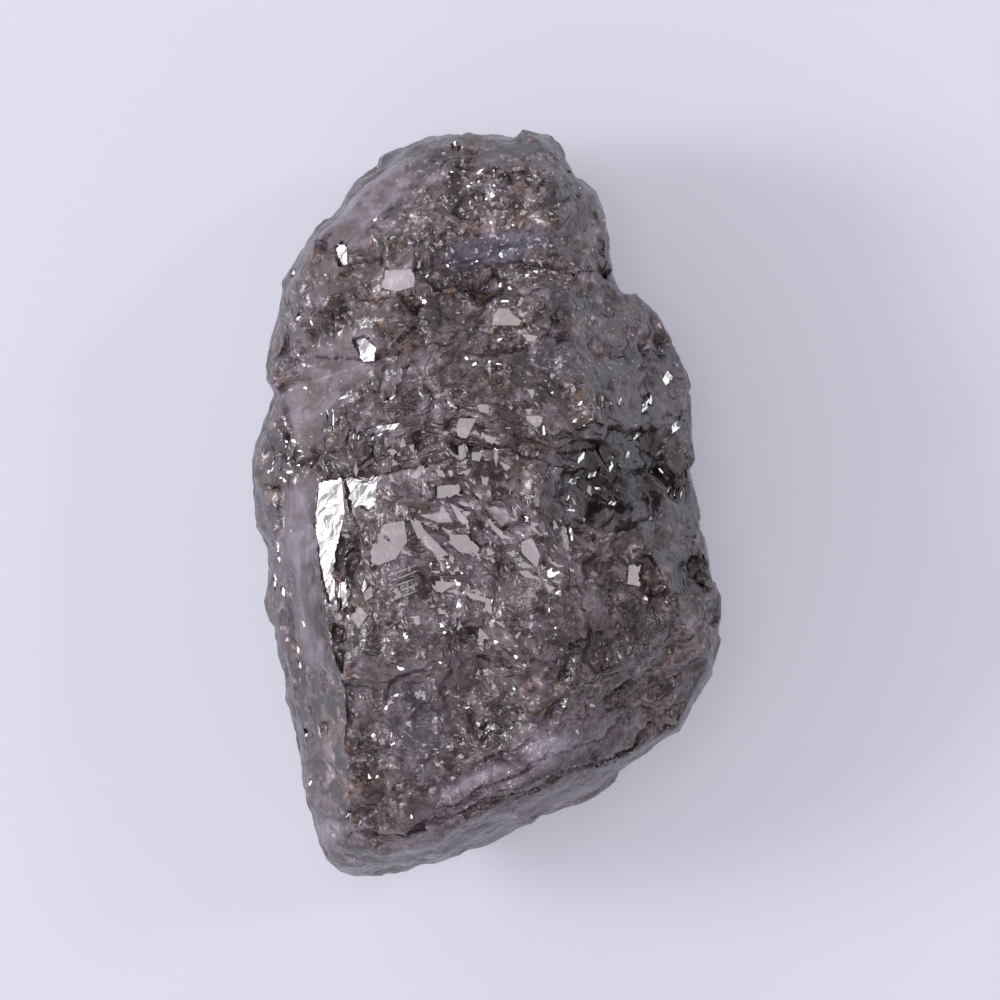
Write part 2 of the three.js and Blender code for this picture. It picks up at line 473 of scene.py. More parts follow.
def break_surface(piece, material):
    """Gives the stone its plates and its broken grain, from coarse to fine."""
    steps, facets = growth_steps_tree(), broken_facets_tree()
    shared = {"material": material, "mask": "relief"}
    add_tree(piece, facets, facet_size=1.7, tilt=0.16, seed=3.0, **shared)
    for seed, plane in enumerate((LEFT_PLANE, SLANT_PLANE, RIGHT_PLANE), start=11):
        add_tree(piece, steps, direction=tuple(plane), step_height=0.09, plate_size=1.3,
                 wander=0.35, riser=0.5, seed=float(seed), **shared)
    add_tree(piece, facets, facet_size=0.6, tilt=0.26, seed=7.0, **shared)
    add_tree(piece, facets, facet_size=0.27, tilt=0.17, seed=9.0, **shared)
    add_tree(piece, steps, direction=tuple(PLATE), step_height=0.04, plate_size=0.8,
             wander=0.3, riser=0.6, seed=21.0, **shared)
    soften = piece.modifiers.new("worn edges", "SMOOTH")
    soften.factor = 0.5
    soften.iterations = 1
    keep_modifiers(piece)


# ---------------------------------------------------------------- single facets

# Bare plates of the crown, as outlines in plan. They all lie in the plate planes.
PLATES = [
    [(-1.5, -0.62), (-1.3, -0.27), (-1.04, -0.22), (-1.0, -0.49), (-1.15, -0.71), (-1.46, -0.82)],
    [(-0.98, -0.18), (-0.85, -0.27), (-0.64, -0.49), (-0.47, -0.66), (-0.58, -0.68), (-0.84, -0.5)],
    [(-0.85, -0.15), (-0.6, -0.13), (-0.56, -0.02), (-0.47, -0.16), (-0.42, -0.24), (-0.6, -0.25)],
    [(-0.46, 0.0), (-0.38, -0.04), (-0.18, -0.28), (-0.22, -0.34), (-0.36, -0.2)],
    [(-0.62, 0.22), (-0.34, 0.24), (-0.3, 0.09), (-0.62, 0.06)],
    [(-0.47, -0.4), (-0.25, -0.4), (-0.08, -0.57), (-0.12, -0.66), (-0.34, -0.62), (-0.45, -0.51)],
    [(0.01, -0.18), (0.1, -0.27), (0.3, -0.44), (0.21, -0.45), (0.08, -0.33)],
    [(0.45, -0.49), (0.59, -0.44), (0.69, -0.66), (0.65, -0.82), (0.56, -0.74), (0.45, -0.62)],
    [(-0.64, -0.99), (-0.36, -1.01), (-0.56, -1.14), (-0.64, -1.12)],
    [(-0.3, -1.1), (0.06, -1.22), (0.08, -1.28), (-0.2, -1.21)],
    [(-0.62, -1.3), (-0.49, -1.41), (-0.6, -1.41)],
    [(-0.08, -1.58), (0.06, -1.73), (-0.12, -1.76)],
    [(-1.59, -1.05), (-1.46, -1.01), (-1.44, -1.19), (-1.54, -1.25)],
    [(-0.12, 1.27), (0.04, 1.25), (0.04, 1.14), (-0.08, 1.16)],
    [(-0.34, 1.08), (-0.12, 1.08), (-0.18, 0.95), (-0.25, 0.82), (-0.39, 0.84), (-0.4, 0.92)],
    [(-0.36, 0.72), (-0.27, 0.77), (-0.25, 0.59), (-0.34, 0.53)],
    [(-0.18, 0.7), (-0.03, 0.67), (-0.08, 0.53), (-0.18, 0.55)],
    [(-0.08, 0.88), (0.14, 0.83), (0.1, 0.76), (-0.04, 0.79)],
    [(-0.98, 0.33), (-0.82, 0.5), (-0.82, 0.35), (-0.89, 0.31)],
    [(-0.05, 0.33), (0.04, 0.33), (0.01, 0.22), (-0.05, 0.24)],
    [(0.47, 1.1), (0.74, 1.12), (0.69, 0.99), (0.63, 0.96)],
    [(0.52, 1.45), (0.63, 1.45), (0.59, 1.32)],
    [(-0.39, 0.37), (-0.18, 0.45), (-0.23, 0.35)],
    [(1.82, -0.79), (1.98, -0.77), (1.97, -1.06), (1.8, -1.03)],
    [(0.2, 2.52), (0.45, 2.32), (0.42, 2.26), (0.08, 2.27), (0.1, 2.4)],
    [(0.5, 2.15), (0.66, 2.13), (0.62, 2.06), (0.5, 2.06)],
    [(-1.62, -1.3), (-1.5, -1.42), (-1.62, -1.6), (-1.72, -1.45)],
    [(-1.28, 2.97), (-0.95, 2.98), (-0.9, 2.91), (-0.92, 2.76), (-1.13, 2.7), (-1.35, 2.73)],
]

# Facets that flash in the main light. The first and the largest is the white face at the left.
FLASHES = [
    [(-2.13, 0.28), (-1.84, 0.33), (-1.8, -0.12), (-1.86, -0.4), (-1.93, -0.8), (-1.92, -1.2),
     (-2.0, -1.28), (-2.11, -0.86), (-2.18, -0.22)],
    [(-1.92, 3.32), (-1.78, 3.32), (-1.77, 3.05), (-1.88, 3.02)],
    [(-1.7, 2.08), (-1.55, 2.1), (-1.4, 1.98), (-1.42, 1.8), (-1.58, 1.8)],
    [(-0.54, 1.33), (-0.31, 1.18), (-0.47, 1.23)],
    [(0.45, -0.15), (0.54, -0.18), (0.52, -0.28)],
    [(1.02, -0.29), (1.09, -0.31), (1.11, -0.48), (1.05, -0.46)],
]

# Facets that catch only the rim of the main light.
SHEENS = [
    [(-1.8, 0.33), (-1.38, 0.37), (-1.41, -0.02), (-1.52, -0.1), (-1.6, -0.02), (-1.74, -0.1)],
    [(-1.86, -1.0), (-1.78, -0.95), (-1.76, -1.3), (-1.86, -1.38)],
    [(-1.4, 0.98), (-1.1, 1.02), (-1.16, 0.94), (-1.36, 0.92)],
]

# Pointed slivers in the dark hollow, which flash in the light at the right: middle, length, width
# and turn.
RIGHT_SLIVERS = [
    (2.33, 1.6, 0.2, 0.14, 80),
    (2.07, 1.28, 0.34, 0.1, 62), (2.45, 1.0, 0.3, 0.12, 62), (1.94, 0.87, 0.24, 0.07, 60),
    (1.2, 1.27, 0.12, 0.06, 30), (1.72, 1.29, 0.14, 0.06, 80), (1.46, 1.22, 0.1, 0.06, 20),
    (1.13, 1.05, 0.12, 0.06, 30), (1.36, 2.36, 0.14, 0.07, 60), (1.22, 0.58, 0.2, 0.06, 60),
    (1.36, 0.36, 0.28, 0.07, 42), (1.12, 0.29, 0.18, 0.1, 20), (1.82, 0.61, 0.22, 0.07, 80),
    (1.6, 0.47, 0.18, 0.05, 80), (1.43, 0.19, 0.12, 0.07, 0), (1.04, 0.08, 0.14, 0.06, 95),
    (1.62, 0.0, 0.12, 0.07, 10), (1.1, -0.09, 0.14, 0.04, 0), (2.09, -0.19, 0.08, 0.06, 0),
    (2.25, 0.42, 0.16, 0.05, 140), (2.34, 0.18, 0.18, 0.035, 85), (2.42, 0.14, 0.18, 0.035, 88),
    (2.5, 0.11, 0.14, 0.035, 85), (1.36, -0.42, 0.18, 0.04, 95), (2.04, -1.21, 0.1, 0.07, 0),
]

# Pointed slivers elsewhere, which flash in the main light.
SLIVERS = [
    (-1.95, 1.07, 0.42, 0.035, 92), (-2.02, 1.12, 0.2, 0.025, 95), (-1.76, 0.83, 0.2, 0.025, 80),
    (-1.69, 0.86, 0.18, 0.025, 75), (-1.62, 0.84, 0.2, 0.025, 80), (-1.54, 0.82, 0.2, 0.025, 75),
    (-1.44, 0.84, 0.16, 0.03, 80), (-1.36, 0.87, 0.1, 0.04, 20), (-2.55, 0.77, 0.24, 0.025, 85),
    (-1.81, 1.35, 0.2, 0.04, 20), (-1.22, 1.33, 0.2, 0.04, 35), (-2.67, -0.55, 0.2, 0.06, 100),
    (-2.7, -0.99, 0.2, 0.05, 92), (-2.59, -1.13, 0.16, 0.05, 100), (-2.33, -1.54, 0.12, 0.04, 120),
    (-2.4, -1.88, 0.12, 0.04, 100), (-2.38, -2.07, 0.14, 0.04, 110), (-1.87, -1.15, 0.3, 0.05, 85),
    (-1.55, -1.06, 0.2, 0.06, 80), (-2.4, 2.37, 0.14, 0.06, 70), (-2.3, -2.95, 0.14, 0.04, 80),
    (-2.25, -3.58, 0.12, 0.04, 75), (-1.75, -3.97, 0.14, 0.05, 60), (-0.4, 4.6, 0.16, 0.05, 70),
    (-0.32, 4.55, 0.14, 0.05, 50), (-2.48, 2.95, 0.1, 0.06, 60), (-1.15, -3.05, 0.3, 0.03, 30),
    (0.1, 4.05, 0.06, 0.04, 0), (0.0, 3.88, 0.06, 0.04, 30), (-0.1, 4.1, 0.07, 0.04, 60),
    (0.52, 2.9, 0.08, 0.05, 20), (-1.42, 3.62, 0.08, 0.05, 40), (-1.22, 3.38, 0.1, 0.03, 30),
]

# The fine bright lines below the largest plate: they run side by side.
LINES = [(-1.08 + 0.02 * i, -0.86 - 0.075 * i, 0.66 - 0.07 * i, 0.022, 21) for i in range(5)]


def sliver(x, y, length, width, turn):
    """The outline of a narrow facet with two points."""
    c, s = math.cos(math.radians(turn)), math.sin(math.radians(turn))
    shape = [(-0.5, 0.0), (0.1, -0.5), (0.5, 0.1), (-0.15, 0.5)]
    return [(x + u * length * c - v * width * s, y + u * length * s + v * width * c) for u, v in shape]


def flatten_facet(points, crown, outline, normal):
    """Presses what lies in an outline onto one plane and gives a point of that plane."""
    within = inside(points, outline) & crown
    centre = np.mean(outline, axis=0)
    if not within.any():
        gap = np.linalg.norm(points[:, :2] - centre, axis=1)
        gap[~crown] = np.inf
        return np.array((*centre, points[gap.argmin(), 2]))
    middle = points[within].mean(axis=0)
    flat = middle[2] - ((points[:, :2] - middle[:2]) @ normal[:2]) / normal[2]
    points[within, 2] = flat[within]
    return middle


def add_block(work, outline, normal, middle, mark):
    """A block over an outline: its floor lies in a plane just under the flattened facet, and its
    walls lean outwards. The floor is marked, so that it can be told from the walls."""
    centre = np.mean(outline, axis=0)

    def corner(x, y, rise):
        floor = middle[2] - ((x - middle[0]) * normal[0] + (y - middle[1]) * normal[1]) / normal[2]
        return work.verts.new((x, y, floor + rise))

    low = [corner(x, y, -CUT_DEPTH) for x, y in outline]
    high = []
    for point in outline:
        away = np.array(point) - centre
        x, y = np.array(point) + away / np.linalg.norm(away) * WALL_LEAN
        high.append(corner(x, y, CUT_HEIGHT))
    floor = work.faces.new(low)
    floor[mark] = 1.0
    work.faces.new(high[::-1])
    for i in range(len(low)):
        work.faces.new((low[i - 1], high[i - 1], high[i], low[i]))


def named_blocks(piece, mark, outlines, normal):
    """Flattens named facets of one kind and makes the blocks that cut them clean."""
    mesh = piece.data
    points, normals = read_points(mesh), read_normals(mesh)
    crown = (points[:, 2] > CROWN_START) & (normals[:, 2] > -0.2)
    work = bmesh.new()
    layer = work.faces.layers.float.new(mark)
    for outline in outlines:
        middle = flatten_facet(points, crown, outline, normal)
        add_block(work, outline, normal, middle, layer)
    write_points(mesh, points)
    bmesh.ops.recalc_face_normals(work, faces=work.faces)
    blocks = bpy.data.meshes.new("named blocks")
    work.to_mesh(blocks)
    work.free()
    return blocks


def random_value(graph, given, low, high, draw):
    """A random number for each chip, another one for each draw."""
    seed = graph.math("ADD", given["Seed"], float(draw))
    node = graph.add("FunctionNodeRandomValue", {2: low, 3: high, "Seed": seed}, data_type="FLOAT")
    return node.outputs[1]


def chip_block(graph, given, corners):
    """A block that widens upwards, with its floor marked."""
    block = graph.add(
        "GeometryNodeMeshCone",
        {"Vertices": corners, "Radius Top": 1.25, "Radius Bottom": 1.0, "Depth": 1.0},
    ).outputs
    marked = graph.add(
        "GeometryNodeStoreNamedAttribute",
        {"Geometry": block["Mesh"], "Selection": block["Bottom"], "Name": given["Mark"], "Value": 1.0},
        data_type="FLOAT", domain="FACE",
    )
    return marked.outputs[0]


def chip_turn(graph, given):
    """Sets each chip's floor square to the direction, and its length about along the main sweep."""
    upright = graph.add("FunctionNodeAlignRotationToVector", {"Vector": given["Direction"]}, axis="Z")
    swing = graph.math("MULTIPLY", random_value(graph, given, -1.0, 1.0, 2), given["Swing"])
    turn = graph.join(
        random_value(graph, given, -CHIP_TILT, CHIP_TILT, 5),
        random_value(graph, given, -CHIP_TILT, CHIP_TILT, 6),
        graph.math("ADD", swing, MAIN_SWEEP),
    )
    own = graph.add("FunctionNodeEulerToRotation", {0: turn})
    turned = graph.add(
        "FunctionNodeRotateRotation",
        {"Rotation": upright.outputs[0], "Rotate By": own.outputs[0]}, rotation_space="LOCAL",
    )
    return turned.outputs[0]


def chips_tree(corners):
    """Scatters small blocks over a surface. All their floors lie square to one direction, just under
    the surface, and each floor is marked."""
    fields = {"Zone": "String", "Mark": "String", "Share": "Float", "Length": "Float",
              "Width": "Float", "Sink": "Float", "Direction": "Vector", "Swing": "Float", "Seed": "Int"}
    tree, graph, given = new_tree(f"chips with {corners} corners", fields)
    spacing = graph.math("MULTIPLY", given["Length"], CHIP_GAP)
    density = graph.math("DIVIDE", CHIP_TRIES, graph.math("MULTIPLY", spacing, spacing))
    share = graph.math("MULTIPLY", stored(graph, given["Zone"]), given["Share"], clamp=True)
    spread = graph.add(
        "GeometryNodeDistributePointsOnFaces",
        {"Mesh": given["Geometry"], "Distance Min": spacing, "Density Max": density,
         "Density Factor": share, "Seed": given["Seed"]},
        distribute_method="POISSON",
    )
    sink = graph.math("MULTIPLY", random_value(graph, given, 0.0, given["Sink"], 1), -1.0)
    sunk = graph.add(
        "GeometryNodeSetPosition",
        {"Geometry": spread.outputs["Points"], "Offset": graph.scaled(given["Direction"], sink)},
    )
    size = graph.join(
        graph.math("MULTIPLY", given["Length"], random_value(graph, given, 0.4, 1.0, 3)),
        graph.math("MULTIPLY", given["Width"], random_value(graph, given, 0.4, 1.0, 4)),
        CUT_HEIGHT,
    )
    placed = graph.add(
        "GeometryNodeInstanceOnPoints",
        {"Points": sunk.outputs[0], "Instance": chip_block(graph, given, corners),
         "Rotation": chip_turn(graph, given), "Scale": size},
    )
    end_tree(graph, given, placed.outputs[0])
    return tree


def scattered_blocks(piece, tree, **values):
    """The blocks that a chips tree scatters over the stone, as a plain mesh."""
    copy = new_object("chips", piece.data.copy())
    for name in ("bare_plate", "flash"):
        copy.data.attributes.remove(copy.data.attributes[name])
    add_tree(copy, tree, **values)
    keep_modifiers(copy)
    blocks = copy.data
    bpy.data.objects.remove(copy)
    return blocks


def cut_away(piece, blocks):
    """Cuts blocks out of the stone."""
    tool = new_object("blocks", blocks)
    cut = piece.modifiers.new("cut", "BOOLEAN")
    cut.operation = "DIFFERENCE"
    cut.solver = SOLVER
    cut.object = tool
    keep_modifiers(piece)
    bpy.data.objects.remove(tool)


# Chips broken off the crown: how many corners they have, where they lie, what plane they show,
# how much of the surface they take and how large they are.
CHIPS = [
    {"rounds": 3, "corners": 4, "zone": "flaky", "mark": "bare_plate", "direction": PLATE,
     "share": 0.9, "length": 0.16, "width": 0.05, "sink": 0.02, "swing": 0.7},
    {"rounds": 1, "corners": 3, "zone": "flaky", "mark": "bare_plate", "direction": PLATE,
     "share": 0.5, "length": 0.1, "width": 0.07, "sink": 0.02, "swing": 3.1},
    {"rounds": 2, "corners": 4, "zone": "flaky", "mark": "bare_plate", "direction": PLATE,
     "share": 0.9, "length": 0.08, "width": 0.025, "sink": 0.01, "swing": 0.9},
    {"rounds": 1, "corners": 3, "zone": "grainy", "mark": "bare_plate", "direction": PLATE,
     "share": 0.4, "length": 0.045, "width": 0.03, "sink": 0.01, "swing": 3.1},
    {"rounds": 1, "corners": 4, "zone": "glinting", "mark": "flash", "direction": KEY_FACET,
     "share": 0.2, "length": 0.044, "width": 0.012, "sink": 0.005, "swing": 1.5},
]


def drop_loose_bits(piece):
    """Keeps only the stone itself where a cut has freed a crumb."""
    work = bmesh.new()
    work.from_mesh(piece.data)
    unseen = set(work.verts)
    groups = []
    while unseen:
        group = {unseen.pop()}
        front = list(group)
        while front:
            vert = front.pop()
            for link in vert.link_edges:
                other = link.other_vert(vert)
                if other in unseen:
                    unseen.discard(other)
                    group.add(other)
                    front.append(other)
        groups.append(group)
    groups.sort(key=len)
    for group in groups[:-1]:
        bmesh.ops.delete(work, geom=list(group), context="VERTS")
    work.to_mesh(piece.data)
    work.free()


def cut_facets(piece, material):
    """Cuts the named facets and scatters small chips, with crisp edges and flat floors."""
    slivers, right_slivers, lines = (
        [sliver(*row) for row in rows] for rows in (SLIVERS, RIGHT_SLIVERS, LINES)
    )
    for mark, outlines, normal in (
        ("bare_plate", PLATES, PLATE), ("bare_plate", lines, PLATE), ("flash", SHEENS, SHEEN_FACET),
        ("flash", FLASHES, KEY_FACET), ("flash", slivers, KEY_FACET),
        ("flash", right_slivers, RIGHT_FACET),
    ):
        cut_away(piece, named_blocks(piece, mark, outlines, normal))
    trees = {corners: chips_tree(corners) for corners in (3, 4)}
    seed = 31
    for chip in CHIPS:
        values = {key: value for key, value in chip.items() if key not in ("rounds", "corners")}
        values["direction"] = tuple(chip["direction"])
        for _ in range(chip["rounds"]):
            mark_zones(piece)
            tree = trees[chip["corners"]]
            cut_away(piece, scattered_blocks(piece, tree, material=material, seed=seed, **values))
            seed += 1
    drop_loose_bits(piece)


def fit_in_box(piece):
    """Keeps every point inside the frame's box and the base flat."""
    mesh = piece.data
    points = read_points(mesh)
    low, high = (np.array(corner) / MM for corner in cad_box)
    points = np.clip(points, low, high)
    points[points[:, 2] < low[2] + BASE_SKIN, 2] = low[2]
    write_points(mesh, points)


def thin_out(piece):
    """Spends the triangles where the surface bends, and leaves flat facets with few."""
    count = sum(len(p.vertices) - 2 for p in piece.data.polygons)
    thinner = piece.modifiers.new("fewer triangles", "DECIMATE")
    thinner.ratio = min(1.0, FACE_LIMIT / count)
    keep_modifiers(piece)


def finish_stone(piece):
    """Brings the stone to metres, with crisp edges, smooth grain and flat bare facets."""
    mesh = piece.data
    mesh.transform(Matrix.Scale(MM, 4))
    mesh.shade_smooth()
    mesh.set_sharp_from_angle(angle=CREASE)
    marks = [mesh.attributes[name].data for name in ("bare_plate", "flash")]
    for polygon, plate, flash in zip(mesh.polygons, *marks):
        polygon.use_smooth = plate.value + flash.value < 0.5
    mesh.update()


# What the crystal is like in each part of the crown, and where shade or light is painted on it: middle,
# radii, turn and strength of each spot.
ZONES = {
    "flaky": [((-0.25, -0.3), (1.9, 2.0), 20, 1.0)],
    "grainy": [
        ((0.1, 3.5), (2.2, 1.6), 0, 1.0),
        ((0.0, -2.4), (2.0, 1.5), 10, 0.7),
        ((1.5, 2.0), (1.4, 1.4), 0, 0.8),
        ((-2.2, 1.2), (0.7, 1.2), 0, 0.5),
        ((-0.05, 3.95), (0.5, 0.6), 0, 1.6),
    ],
    "glinting": [
        ((-0.05, 3.95), (0.5, 0.6), 0, 0.8),
        ((1.7, 0.6), (1.0, 0.8), 0, 0.9),
        ((-0.9, -2.6), (1.0, 1.6), 0, 0.5),
        ((0.4, 2.2), (2.4, 2.2), 0, 0.25),
        ((0.3, -1.8), (2.2, 2.2), 0, 0.3),
        ((-2.4, 1.0), (0.5, 2.2), -10, 0.6),
    ],
    "streaked": [
        ((-0.6, 1.0), (1.6, 0.75), 15, 1.0),
        ((-0.8, -0.8), (0.9, 0.45), 35, 0.8),
        ((0.9, -3.0), (1.8, 0.5), 28, 0.8),
        ((0.5, -3.9), (2.6, 0.6), 27, 1.0),
    ],
    "feathered": [
        ((-1.2, 1.25), (1.4, 0.85), 25, 1.0),
        ((-0.95, -0.85), (0.6, 0.4), 35, 0.9),
        ((-0.3, 2.1), (1.0, 0.5), 20, 0.5),
    ],
    "ridged": [
        ((0.5, -3.6), (2.6, 0.9), 27, 1.0),
    ],
    "upright": [
        ((-1.0, -2.2), (1.0, 1.1), 0, 1.0),
        ((-2.35, -1.8), (0.3, 2.6), -6, 0.7),
        ((2.0, 0.9), (0.5, 1.2), 0, 0.5),
    ],
    # Painted shade: the dark zones lie in the hollows and grooves and darken them.
    "dark": [
        ((1.75, 0.35), (1.2, 0.9), 20, 1.1),
        ((1.9, 1.5), (0.9, 0.9), 0, 0.45),
        ((2.62, -0.9), (0.35, 0.4), 0, 0.8),
        ((1.9, -1.7), (0.9, 0.6), 20, 0.45),
        ((2.75, -2.4), (0.3, 0.8), -15, 0.9),
        ((-1.81, -0.62), (0.25, 0.35), -10, 0.5),
        ((-1.95, 0.62), (0.4, 0.25), 15, 0.2),
    ],
    "brown": [
        ((0.9, 3.9), (1.2, 1.3), 0, 1.0),
        ((-0.5, 0.9), (1.8, 0.8), 15, 1.0),
        ((-2.0, -3.2), (0.7, 1.2), -10, 1.0),
        ((-0.4, -0.9), (1.6, 1.2), 0, 0.8),
        ((1.2, -2.3), (1.2, 0.8), 20, 0.7),
    ],
    "tan": [
        ((-2.1, -3.3), (0.4, 1.1), -12, 0.9),
        ((-2.15, -4.3), (0.4, 0.35), 0, 1.0),
        ((0.6, 3.6), (0.35, 0.25), 0, 0.7),
        ((-0.6, 2.1), (0.4, 0.3), 0, 0.6),
        ((1.0, -2.5), (0.6, 0.35), 10, 0.6),
        ((2.2, -1.9), (0.3, 0.4), 0, 0.5),
        ((-2.3, 2.3), (0.3, 0.6), -20, 0.6),
        ((-1.9, -2.5), (0.25, 0.35), 0, 0.8),
    ],
    "milky": [
        ((-1.12, 2.85), (0.3, 0.2), 10, 0.5),
        ((0.75, -3.12), (0.5, 0.24), 30, 0.55),
        ((-0.2, -3.55), (0.7, 0.1), 27, 0.5),
        ((-2.0, -4.2), (0.24, 0.2), 0, 0.5),
    ],
    "blue": [
        ((0.1, 3.25), (0.95, 0.3), 12, 1.0),
        ((-0.9, -2.9), (0.5, 0.8), 0, 0.4),
        ((0.9, 1.9), (0.6, 0.5), 30, 0.4),
    ],
    # Dark brown windows into the crystal. Many of them lie in the hollows and grooves, where they also
    # paint shade into them.
    "window": [
        ((-1.81, -0.62), (0.26, 0.32), -10, 1.4),
        ((-2.13, -1.5), (0.15, 0.38), 0, 1.2),
        ((-2.39, -0.64), (0.09, 0.1), 0, 1.0),
        ((-2.25, -0.8), (0.08, 0.13), 0, 1.2),
        ((-2.0, 0.62), (0.5, 0.16), 15, 0.9),
        ((-2.1, 1.82), (0.16, 0.09), 20, 0.6),
        ((-1.8, 1.84), (0.16, 0.1), 30, 0.6),
        ((2.1, -0.6), (0.22, 0.3), 0, 1.2),
        ((2.62, -0.9), (0.3, 0.3), 0, 1.4),
        ((1.5, -1.75), (0.4, 0.3), 20, 1.0),
        ((0.7, -3.55), (1.5, 0.14), 27, 1.0),
        ((-0.1, 0.3), (0.7, 0.16), 20, 0.8),
        ((-2.02, -2.0), (0.08, 0.12), 0, 0.9),
        ((-2.15, -3.2), (0.16, 0.4), 0, 0.7),
    ],
    # Pale spots and streaks. The long strip along the left rim paints the light that shows through the
    # thin edge.
    "pale": [
        ((-2.15, -4.2), (0.35, 0.35), 0, 0.7),
        ((-2.65, -1.6), (0.14, 2.4), -4, 0.6),
        ((0.6, -3.0), (0.5, 0.28), 25, 0.8),
        ((1.45, -1.4), (0.12, 0.7), 25, 0.9),
        ((1.9, 1.3), (0.2, 0.9), -10, 0.5),
        ((0.35, -3.3), (1.7, 0.09), 27, 1.0),
        ((0.6, -3.95), (1.6, 0.1), 24, 1.0),
        ((0.3, -3.6), (2.4, 0.6), 27, 0.75),
        ((-0.8, -2.4), (0.9, 1.4), 0, 0.3),
        ((-2.3, 2.6), (0.35, 1.0), -25, 0.4),
        ((1.35, 3.95), (0.25, 0.3), 0, 0.6),
    ],
}


BROKEN_ZONES = ("flaky", "grainy", "glinting")  # these fade fast towards the sides


def mark_zones(piece):
    """Stores the zones of the crown, and which faces stayed smooth."""
    mesh = piece.data
    points, normals = read_points(mesh), read_normals(mesh)
    crown = crown_weight(points, normals)
    for name, spots in ZONES.items():
        field = largest(*(spot(points, centre, radii, turn) * strength
                          for centre, radii, turn, strength in spots))
        spread = 0.25 if name in BROKEN_ZONES else 0.7
        store(mesh, name, field * (spread + (1 - spread) * crown))
    store(mesh, "smooth_face", smooth_faces(points))


# ---------------------------------------------------------------- material

def vector_mix(graph, factor, first, second):
    node = graph.add("ShaderNodeMix", {0: factor, 4: first, 5: second}, data_type="VECTOR")
    return node.outputs[1]


def nearest_plane(graph, normal):
    """The growth plane that a surface comes closest to, and how close it comes."""
    plane, closeness = tuple(PLATE), graph.dot(normal, tuple(PLATE))
    for other in (LEFT_PLANE, SLANT_PLANE, RIGHT_PLANE):
        reach = graph.dot(normal, tuple(other))
        plane = vector_mix(graph, graph.math("GREATER_THAN", reach, closeness), plane, tuple(other))
        closeness = graph.math("MAXIMUM", reach, closeness)
    return plane, closeness


def picked(graph, draw, scramble, share):
    """1 for a share of the cells. The scramble makes a fresh draw out of one that is in use."""
    fresh = graph.math("FRACT", graph.math("MULTIPLY", draw, scramble))
    return graph.math("LESS_THAN", fresh, share)


def facet_group():
    """Shader group: tiny flat facets. Some lie in the crystal's growth planes, a few flash towards
    the main light and the rest lean their own way."""
    tree = bpy.data.node_groups.new("tiny facets", "ShaderNodeTree")
    face = tree.interface
    for name, kind in {"Vector": "Vector", "Normal": "Vector", "Size": "Float", "Lean": "Float",
                       "Plates": "Float", "Flashes": "Float"}.items():
        face.new_socket(name=name, in_out="INPUT", socket_type="NodeSocket" + kind)
    for name, kind in {"Normal": "Vector", "Bare": "Float"}.items():
        face.new_socket(name=name, in_out="OUTPUT", socket_type="NodeSocket" + kind)
    graph = Graph(tree)
    given = graph.add("NodeGroupInput").outputs
    scale = graph.math("DIVIDE", 1.0, given["Size"])
    cells = graph.add("ShaderNodeTexVoronoi", {"Vector": given["Vector"], "Scale": scale})
    colour = cells.outputs["Color"]
    red, green, _ = graph.parts(colour)
    lean = graph.scaled(graph.vector("SUBTRACT", colour, HALF), given["Lean"])
    normal = graph.vector("ADD", given["Normal"], lean)
    surface = graph.add("ShaderNodeNewGeometry").outputs["Normal"]
    plane, closeness = nearest_plane(graph, surface)
    plate = picked(graph, red, 13.7, given["Plates"])
    plate = graph.math("MULTIPLY", plate, graph.ramp(closeness, 0.72, 0.9))
    normal = vector_mix(graph, plate, normal, graph.vector("ADD", plane, graph.scaled(lean, 0.12)))
    flash = picked(graph, green, 17.3, given["Flashes"])
    near_key = graph.ramp(graph.dot(surface, tuple(KEY_FACET)), 0.5, 0.7)
    flash = graph.math("MULTIPLY", flash, near_key)
    bright = graph.vector("ADD", tuple(KEY_FACET), graph.scaled(lean, 0.3))
    normal = vector_mix(graph, flash, normal, bright)
    bare = graph.math("MAXIMUM", plate, flash)
    graph.add("NodeGroupOutput", {"Normal": graph.vector("NORMALIZE", normal), "Bare": bare})
    return tree


def shell_rings(graph, place):
    """Coordinates that follow the shell-like rings in which the crown broke: along, across, up."""
    x, y, z = graph.parts(graph.vector("SUBTRACT", place, (*RING_CENTRE, 0.0)))
    angle = graph.math("ARCTAN2", x, y)
    length = graph.add("ShaderNodeVectorMath", {0: graph.join(x, y)}, operation="LENGTH")
    radius = length.outputs["Value"]
    return graph.join(graph.math("MULTIPLY", angle, 1.1), graph.math("MULTIPLY", radius, 1.5), z)


def add_facets(graph, group, **values):
    """Places the tiny facets group with its own values."""
    inputs = {name.capitalize(): value for name, value in values.items()}
    return graph.add("ShaderNodeGroup", inputs, node_tree=group).outputs


def colour_mix(graph, factor, first, second):
    node = graph.add("ShaderNodeMix", {0: factor, 6: first, 7: second}, data_type="RGBA")
    return node.outputs[2]


def laid_over(graph, body, shade, mask, density):
    """Lays a shade over a body colour, as densely as a mask and a density say together."""
    share = graph.math("MULTIPLY", mask, density, clamp=True)
    return colour_mix(graph, share, body, shade)


def noise_value(graph, place, scale, detail, roughness, distortion=0.0):
    """Cloudy noise, with scale clouds to the millimetre."""
    node = graph.add(
        "ShaderNodeTexNoise",
        {"Vector": place, "Scale": scale, "Detail": detail, "Roughness": roughness,
         "Distortion": distortion},
    )
    return node.outputs[0]


def cell_draw(graph, place, scale, draw):
    """One of the three random numbers that each angular cell has."""
    cells = graph.add("ShaderNodeTexVoronoi", {"Vector": place, "Scale": scale})
    return graph.parts(cells.outputs["Color"])[draw]


def wandering(graph, place, scale, detail, amount):
    """A soft random shift in all three directions."""
    wave = graph.add("ShaderNodeTexNoise", {"Vector": place, "Scale": scale, "Detail": detail})
    return graph.scaled(graph.vector("SUBTRACT", wave.outputs["Color"], HALF), amount)


